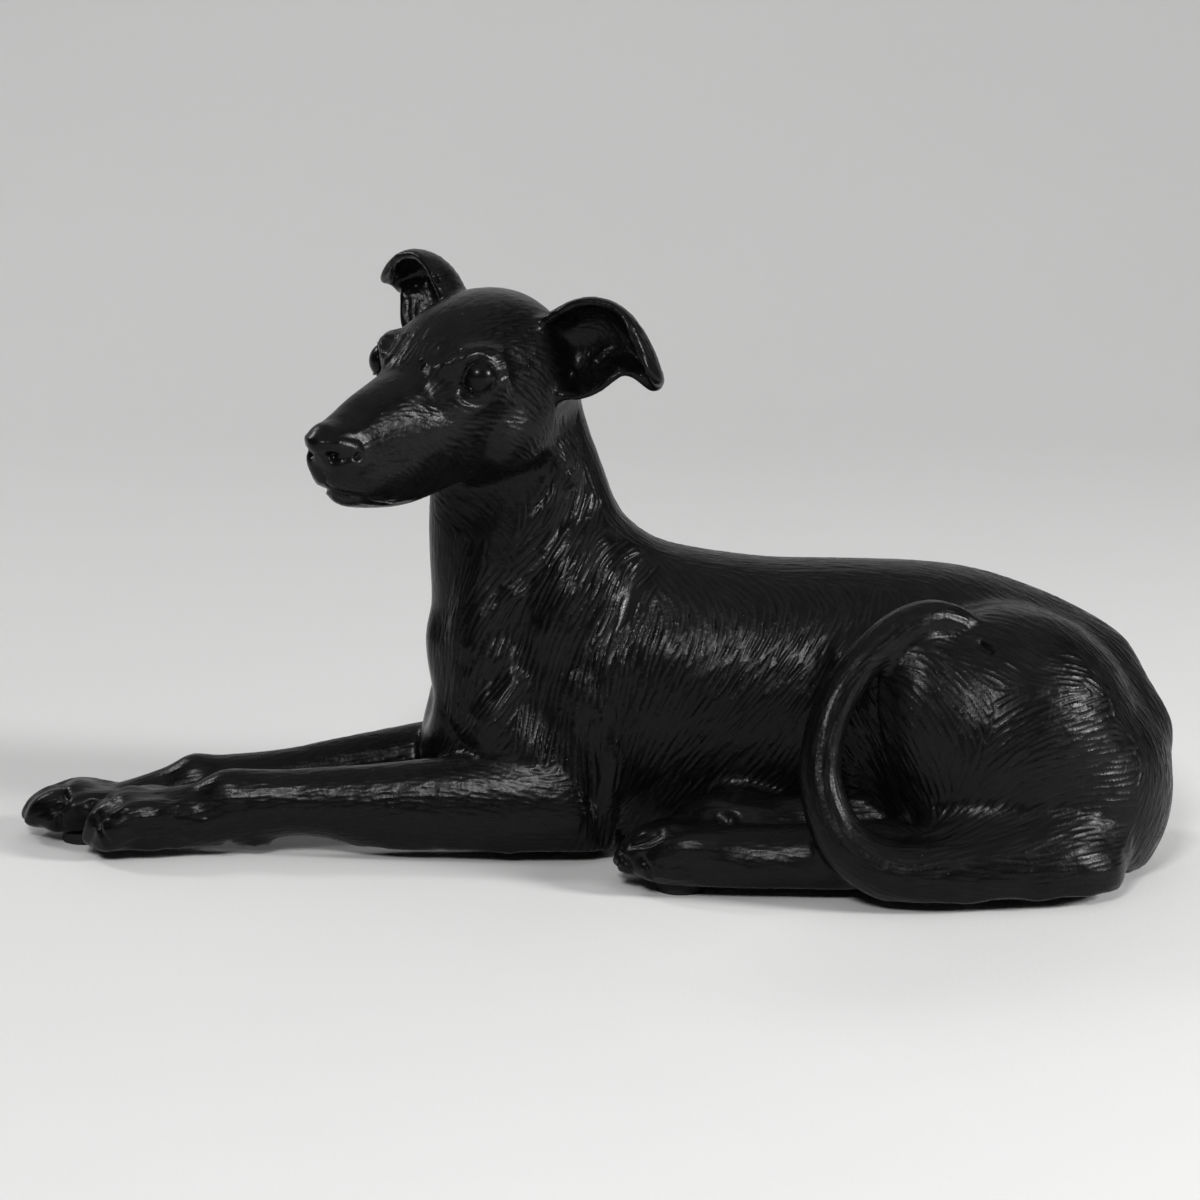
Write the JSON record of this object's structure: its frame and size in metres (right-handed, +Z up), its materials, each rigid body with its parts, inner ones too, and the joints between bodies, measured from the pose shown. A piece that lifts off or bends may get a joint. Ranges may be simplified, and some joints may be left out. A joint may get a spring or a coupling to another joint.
{
  "type": "greyhound statue",
  "caption": "Black resin statue of a greyhound lying down with its head turned and its tail over its hip, on stick-on rubber pads",
  "frame": {"origin": "middle of the bounding box on the floor, under the pads", "axes": "+X from the fore paws to the rump, +Y away from the side that the head looks to, +Z up"},
  "size_m": [0.2804, 0.1032, 0.1442],
  "materials": {
    "black_resin": "satin",
    "pad_rubber": "matte"
  },
  "bodies": {
    "root": {"greyhound": "black_resin", "pad_1": "pad_rubber", "pad_2": "pad_rubber", "pad_3": "pad_rubber", "pad_4": "pad_rubber", "pad_5": "pad_rubber"}
  },
  "joints": []
}
